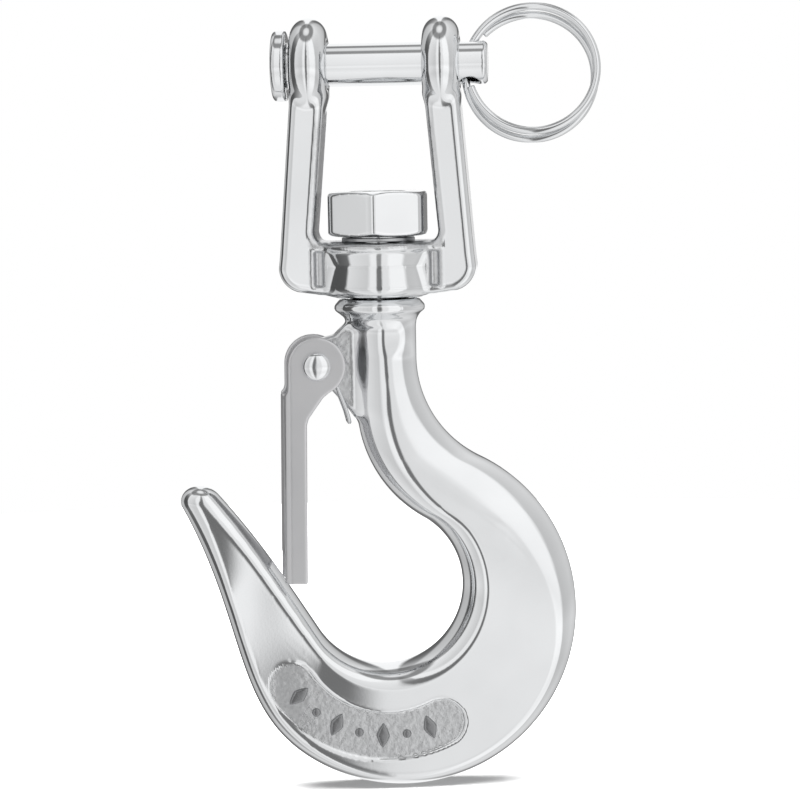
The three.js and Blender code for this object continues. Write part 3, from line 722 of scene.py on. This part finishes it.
def safety_latch():
    g = Grid((-8, -6.8, -42), (6.6, 6.8, 6.6), FINE_VOXEL)
    a = LATCH_WEB_X - g.x + LATCH_BEND
    b = np.abs(g.y) - LATCH_HALF_WIDTH + LATCH_BEND
    channel = np.hypot(np.maximum(a, 0), np.maximum(b, 0)) + np.minimum(np.maximum(a, b), 0) - LATCH_BEND
    sheet = np.abs(channel + LATCH_SHEET / 2) - LATCH_SHEET / 2
    body = both(sheet + 0 * g.z, outline_distance(latch_outline(), g.x, g.z) + 0 * g.y, 0.3)
    inside = LATCH_HALF_WIDTH - LATCH_SHEET
    top = np.maximum(np.abs(g.y) - inside, LATCH_WEB_TOP_Z - g.z)
    body = cut(body, np.maximum(top, g.x - LATCH_WEB_X - 9), 0.3)
    notch = np.maximum(np.abs(g.y) - LATCH_NOTCH_HALF, g.z - LATCH_WEB_END_Z)
    body = cut(body, np.maximum(notch, g.x - LATCH_WEB_X - 2), 0.5)
    body = cut(body, np.hypot(g.x, g.z) - RIVET_RADIUS - BORE_GAP + 0 * g.y, 0.2)
    points, faces = surface(body, g, 3)
    return make_piece("safety_latch_sheet", leaned(points), faces, HOOK_TURN)


def latch_rivet():
    reach = LATCH_HALF_WIDTH + 0.1
    crown = [
        (RIVET_HEAD_RADIUS * math.cos(a) ** 0.8, reach + 0.25 + RIVET_HEAD_HEIGHT * math.sin(a))
        for a in np.radians(np.linspace(0, 86, 14))
    ]
    front = [(RIVET_RADIUS, 0), (RIVET_RADIUS, reach), (RIVET_HEAD_RADIUS - 0.15, reach), *crown]
    profile = [(r, -h) for r, h in reversed(front[1:])] + front[1:]
    angles = 2 * math.pi * np.arange(64) / 64
    rings = [np.stack([r * np.cos(angles), 0 * angles + h, -r * np.sin(angles)], 1) for r, h in profile]
    points, faces = closed_rings(rings)
    piece = make_piece("latch_rivet_domed", points + np.array((RIVET_X, 0, RIVET_Z)), faces, HOOK_TURN)
    piece.data.set_sharp_from_angle(angle=math.radians(50))
    return piece


def spring_path():
    """The wire from its end on the web, round its coil, down to the bight and back up."""
    web_inside = LATCH_WEB_X + LATCH_SHEET + SPRING_WIRE / 2 + 0.35
    coil_start_y = -COIL_Y - COIL_TURNS * COIL_PITCH
    side = [
        (web_inside, coil_start_y, -15),
        (web_inside + 0.6, coil_start_y, -9),
        (-COIL_RADIUS - 0.7, coil_start_y, -3),
    ]
    steps = int(12 * COIL_TURNS)
    for i in range(steps + 1):
        angle = math.pi - i / 12 * 2 * math.pi
        y = -COIL_Y - COIL_TURNS * COIL_PITCH * (1 - i / steps)
        side.append((COIL_RADIUS * math.cos(angle), y, COIL_RADIUS * math.sin(angle)))
    side += [
        (COIL_RADIUS + 0.9, -COIL_Y - 0.05, -3),
        (BIGHT_X - 0.55, -COIL_Y - 0.1, BIGHT_Z + 2),
        (BIGHT_X - 0.1, -COIL_Y + 0.25, BIGHT_Z + 0.35),
        (BIGHT_X, -COIL_Y + 0.9, BIGHT_Z),
    ]
    return spline(side + [(x, -y, z) for x, y, z in reversed(side)], 700)


def latch_spring():
    points, faces = tube(spring_path(), SPRING_WIRE / 2 - 0.01, 14, 0.06)
    return make_piece("latch_spring_wire", leaned(points), faces, HOOK_TURN)


# ---- Metal finishes ----

SLOTS = {material["slot"]: material for material in frame["record"]["materials"]}
# Noise scales, and the heights of the bumps in tenths of a millimetre.
CLOUD_SCALE, SPECK_SCALE, RIPPLE_SCALE, PIT_SCALE = 90, 1400, 70, 900
GRAIN_HEIGHT, PIT_HEIGHT = 0.012, 0.9
BUMP_DISTANCE = 0.1 * MM
# How far the colour strays from the record's, darker and lighter.
DARKER, LIGHTER = 0.93, 1.05
# Cast areas (inner leg faces, pockets, lug sides, panel floor): rougher, and their colour mixed towards a
# darker speckled grey.
CAST_ROUGHER, CAST_DARKENING, CAST_DARK_COLOR = 0.2, 0.42, (0.2, 0.2, 0.205, 1)
# Raised marks: rougher, and a painted reflection: their colour is mixed towards near black, standing in
# for the dark that their flat polished tops reflect.
MARK_ROUGHER, MARK_PAINTED_REFLECTION, MARK_REFLECTION_COLOR = 0.15, 0.72, (0.07, 0.07, 0.075, 1)


def steel(slot, roughness, spread, ripple, grain, grain_stretch=(1, 1, 1), cast=False, mark=False):
    """Bare steel in the record's colour: uneven polish, hammered-out ripple and fine grain."""
    material = bpy.data.materials.new(slot)
    material.use_nodes = True
    nodes, links = material.node_tree.nodes, material.node_tree.links
    shader = nodes["Principled BSDF"]
    shader.inputs["Metallic"].default_value = 1.0
    color = SLOTS[slot]["base_color"]

    def node(kind, **values):
        made = nodes.new(kind)
        for key, value in values.items():
            setattr(made, key, value)
        return made

    def math_node(operation, a, b=None):
        made = node("ShaderNodeMath", operation=operation)
        for socket, value in zip(made.inputs, (a, b)):
            if isinstance(value, (int, float)):
                socket.default_value = value
            elif value is not None:
                links.new(value, socket)
        return made.outputs[0]

    def noise(scale, detail, stretch=(1, 1, 1)):
        mapping = node("ShaderNodeMapping")
        mapping.inputs["Scale"].default_value = stretch
        links.new(place.outputs["Object"], mapping.inputs["Vector"])
        made = node("ShaderNodeTexNoise")
        made.inputs["Scale"].default_value = scale
        made.inputs["Detail"].default_value = detail
        links.new(mapping.outputs["Vector"], made.inputs["Vector"])
        return made.outputs["Fac"]

    def mask(name):
        made = node("ShaderNodeAttribute", attribute_name=name)
        return made.outputs["Fac"]

    def mix_color(amount, a, b):
        made = node("ShaderNodeMix", data_type="RGBA")
        if isinstance(amount, (int, float)):
            made.inputs[0].default_value = amount
        else:
            links.new(amount, made.inputs[0])
        for socket, value in zip((made.inputs[6], made.inputs[7]), (a, b)):
            if isinstance(value, tuple):
                socket.default_value = value
            else:
                links.new(value, socket)
        return made.outputs[2]

    place = node("ShaderNodeTexCoord")
    cloudy = noise(CLOUD_SCALE, 3)
    specks = noise(SPECK_SCALE, 2)
    dark = (*[c * DARKER for c in color], 1)
    pale = (*[min(1, c * LIGHTER) for c in color], 1)
    shade = mix_color(cloudy, dark, pale)
    rough = math_node("ADD", math_node("MULTIPLY", cloudy, spread), roughness)
    height = math_node("MULTIPLY", noise(RIPPLE_SCALE, 1), ripple)
    fine = math_node("MULTIPLY", noise(grain, 3, grain_stretch), GRAIN_HEIGHT)
    height = math_node("ADD", height, fine)
    if cast:
        pits = math_node("MULTIPLY", noise(PIT_SCALE, 4), mask("cast"))
        height = math_node("ADD", height, math_node("MULTIPLY", pits, PIT_HEIGHT))
        rough = math_node("ADD", rough, math_node("MULTIPLY", mask("cast"), CAST_ROUGHER))
        # Cast areas: colour mixed towards a darker speckled grey.
        darker_share = math_node("MULTIPLY", mask("cast"), math_node("SUBTRACT", 1.1, specks))
        shade = mix_color(math_node("MULTIPLY", darker_share, CAST_DARKENING), shade, CAST_DARK_COLOR)
    if mark:
        rough = math_node("ADD", rough, math_node("MULTIPLY", mask("mark"), MARK_ROUGHER))
        # Painted reflection: the marks' colour is mixed towards near black, for the dark that their
        # polished tops reflect.
        shade = mix_color(math_node("MULTIPLY", mask("mark"), MARK_PAINTED_REFLECTION), shade, MARK_REFLECTION_COLOR)
    bump = node("ShaderNodeBump")
    bump.inputs["Strength"].default_value = 1.0
    bump.inputs["Distance"].default_value = BUMP_DISTANCE
    links.new(height, bump.inputs["Height"])
    links.new(bump.outputs["Normal"], shader.inputs["Normal"])
    links.new(shade, shader.inputs["Base Color"])
    links.new(rough, shader.inputs["Roughness"])
    return material


def finish_piece(piece, body, node, slot):
    """Puts a piece on its body in place of its CAD node, in the finish of its slot."""
    piece.data.materials.append(FINISHES[slot])
    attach(piece, body)
    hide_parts(node)


FINISHES = {
    "polished_stainless": steel("polished_stainless", 0.05, 0.06, 0.5, 2600, cast=True, mark=True),
    "nut_stainless": steel("nut_stainless", 0.07, 0.06, 0.3, 2600),
    "pin_stainless": steel("pin_stainless", 0.06, 0.05, 0.12, 900, (8, 1, 1)),
    "ring_wire": steel("ring_wire", 0.08, 0.05, 0.1, 3000),
    "satin_stainless": steel("satin_stainless", 0.3, 0.1, 0.1, 2600),
    "latch_sheet": steel("latch_sheet", 0.3, 0.12, 0.15, 500, (6, 6, 0.4)),
    "rivet_stainless": steel("rivet_stainless", 0.07, 0.06, 0.2, 2600),
    "spring_wire": steel("spring_wire", 0.16, 0.08, 0.1, 3000),
}


def build_pieces():
    finish_piece(clevis_jaw(), "clevis", "clevis_jaw", "polished_stainless")
    finish_piece(hook_body(), "hook", "hook_body", "polished_stainless")
    finish_piece(clevis_pin(), "pin", "clevis_pin", "pin_stainless")
    finish_piece(split_ring(), "ring", "split_ring", "ring_wire")
    finish_piece(shank_nut(), "hook", "shank_nut", "nut_stainless")
    finish_piece(thrust_washer(), "hook", "thrust_washer", "satin_stainless")
    finish_piece(safety_latch(), "latch", "safety_latch", "latch_sheet")
    finish_piece(latch_rivet(), "hook", "latch_rivet", "rivet_stainless")
    spring = latch_spring()
    spring.data.materials.append(FINISHES["spring_wire"])
    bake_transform(spring)
    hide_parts("latch_spring")


# ---- Studio ----

VIEW_TARGET = Vector((3.48, 0, -62.45)) * MM
VIEW_AZIMUTH, VIEW_ELEVATION, VIEW_ROLL = math.radians(4.5), math.radians(5), math.radians(1.07)
VIEW_DISTANCE, VIEW_WIDTH = 600 * MM, 149.5 * MM
SENSOR_WIDTH = 36
FLOOR_RADIUS, FLOOR_GAP, FLOOR_COLOR = 0.45, 0.0001, (0.93, 0.93, 0.93, 1)
LAMP_PLACE, LAMP_TARGET, LAMP_SIZE, LAMP_POWER = (0.0, -0.05, 0.5), (0, 0, -0.13), (0.8, 0.8), 16


def add_camera():
    camera = bpy.data.objects.new("camera", bpy.data.cameras.new("camera"))
    bpy.context.scene.collection.objects.link(camera)
    camera.data.sensor_width = SENSOR_WIDTH
    camera.data.lens = SENSOR_WIDTH * VIEW_DISTANCE / VIEW_WIDTH
    level = math.cos(VIEW_ELEVATION)
    right, forward = math.sin(VIEW_AZIMUTH) * level, math.cos(VIEW_AZIMUTH) * level
    back = Vector((right, -forward, math.sin(VIEW_ELEVATION)))
    camera.location = VIEW_TARGET + back * VIEW_DISTANCE
    aim = (-back).to_track_quat("-Z", "Y").to_matrix() @ Matrix.Rotation(-VIEW_ROLL, 3, "Z")
    camera.rotation_euler = aim.to_euler()
    camera.data.clip_start, camera.data.clip_end = 0.01, 50
    bpy.context.scene.camera = camera


def add_floor():
    sides = 96
    rim = arc(0, 0, FLOOR_RADIUS, 0, 360, sides)[:-1]
    mesh = bpy.data.meshes.new("floor")
    mesh.from_pydata([(x, y, CAD_LOW.z - FLOOR_GAP) for x, y in rim], [], [range(sides)])
    floor = bpy.data.objects.new("floor", mesh)
    bpy.context.scene.collection.objects.link(floor)
    paint = bpy.data.materials.new("pale_floor")
    paint.use_nodes = True
    shader = paint.node_tree.nodes["Principled BSDF"]
    shader.inputs["Base Color"].default_value = FLOOR_COLOR
    shader.inputs["Roughness"].default_value = 0.8
    floor.data.materials.append(paint)
    floor.visible_glossy = False


def add_area(name, place, target, size, power):
    light = bpy.data.lights.new(name, "AREA")
    light.shape = "RECTANGLE"
    light.size, light.size_y = size
    light.energy = power
    lamp = bpy.data.objects.new(name, light)
    lamp.location = place
    lamp.rotation_euler = (Vector(target) - Vector(place)).to_track_quat("-Z", "Y").to_euler()
    lamp.visible_glossy = False
    bpy.context.scene.collection.objects.link(lamp)


# Grey levels that the metal reflects, tuned by trial for the front view. First by the direction's
# angle from the camera's side, plus to the right: a narrow grey strip at the camera, a dark card at
# the left, and a dark strip on each side of a white sheet straight behind.
AROUND = [
    (-180, 1.0), (-173, 1.0), (-169, 0.35), (-152, 0.4), (-144, 0.74), (-114, 0.76), (-108, 0.32),
    (-78, 0.34), (-72, 0.9), (-26, 0.82), (-18, 0.96), (-7, 0.96), (-4, 0.45), (5, 0.45), (8, 0.92),
    (20, 0.92), (26, 1.0), (58, 1.0), (66, 0.78), (118, 0.84), (140, 0.8), (154, 0.72), (160, 0.42),
    (169, 0.38), (173, 1.0), (180, 1.0),
]
# And by the direction's height, from straight down to straight up.
UPWARD = [
    (-90, 0.93), (-40, 0.97), (-22, 0.92), (-9, 0.98), (-2, 0.92), (4, 0.94), (40, 0.97), (56, 1.0),
    (62, 0.6), (74, 0.58), (80, 0.92), (90, 1.0),
]
# The levels above are as shown on a screen, and are raised to this power to be light.
SHOWN_GAMMA = 2.2
# Near straight up or down, the level from AROUND gives way to this one.
POLE_LEVEL, POLE_POWER = 0.85, 4.0
# The room's level for rays that light surfaces. Camera rays get white, and glossy rays the levels above.
ROOM_LEVEL = 0.35
# The reflected levels are divided by this, since the steel gives back only part of the light.
METAL_SHARE = 0.83


def add_world():
    world = bpy.data.worlds.new("studio")
    bpy.context.scene.world = world
    world.use_nodes = True
    nodes, links = world.node_tree.nodes, world.node_tree.links
    background = nodes["Background"]

    def math_node(operation, *values):
        made = nodes.new("ShaderNodeMath")
        made.operation = operation
        for socket, value in zip(made.inputs, values):
            if isinstance(value, (int, float)):
                socket.default_value = value
            else:
                links.new(value, socket)
        return made.outputs[0]

    def along(way):
        made = nodes.new("ShaderNodeVectorMath")
        made.operation = "DOT_PRODUCT"
        links.new(place.outputs["Generated"], made.inputs[0])
        made.inputs[1].default_value = way
        return made.outputs["Value"]

    def brightness(angle, stops, low, high):
        share = math_node("DIVIDE", math_node("SUBTRACT", angle, low), high - low)
        made = nodes.new("ShaderNodeValToRGB")
        links.new(share, made.inputs["Fac"])
        elements = made.color_ramp.elements
        elements.remove(elements[-1])
        for i, (stop, value) in enumerate(stops):
            element = elements[0] if i == 0 else elements.new((stop - low) / (high - low))
            element.position = (stop - low) / (high - low)
            level = value ** SHOWN_GAMMA
            element.color = (level, level, level, 1)
        return made.outputs["Color"]

    place = nodes.new("ShaderNodeTexCoord")
    c, s = math.cos(VIEW_AZIMUTH), math.sin(VIEW_AZIMUTH)
    around = math_node("DEGREES", math_node("ARCTAN2", along((c, s, 0)), along((s, -c, 0))))
    upward = math_node("DEGREES", math_node("ARCSINE", along((0, 0, 1))))
    level = brightness(around, AROUND, -180, 180)
    tilt = math_node("POWER", math_node("ABSOLUTE", along((0, 0, 1))), POLE_POWER)
    change = math_node("MULTIPLY", tilt, math_node("SUBTRACT", POLE_LEVEL, level))
    level = math_node("ADD", level, change)
    light = math_node("MULTIPLY", level, brightness(upward, UPWARD, -90, 90))
    light = math_node("DIVIDE", light, METAL_SHARE)
    path = nodes.new("ShaderNodeLightPath")
    seen = math_node("MULTIPLY", path.outputs["Is Camera Ray"], 1 - ROOM_LEVEL)
    mix = nodes.new("ShaderNodeMix")
    links.new(path.outputs["Is Glossy Ray"], mix.inputs[0])
    links.new(math_node("ADD", seen, ROOM_LEVEL), mix.inputs[2])
    links.new(light, mix.inputs[3])
    links.new(mix.outputs[0], background.inputs["Color"])
    background.inputs["Strength"].default_value = 1.0


def add_studio():
    bpy.context.scene.view_settings.view_transform = "Standard"
    add_camera()
    add_floor()
    add_world()
    add_area("overhead", LAMP_PLACE, LAMP_TARGET, LAMP_SIZE, LAMP_POWER)


build_pieces()
add_studio()
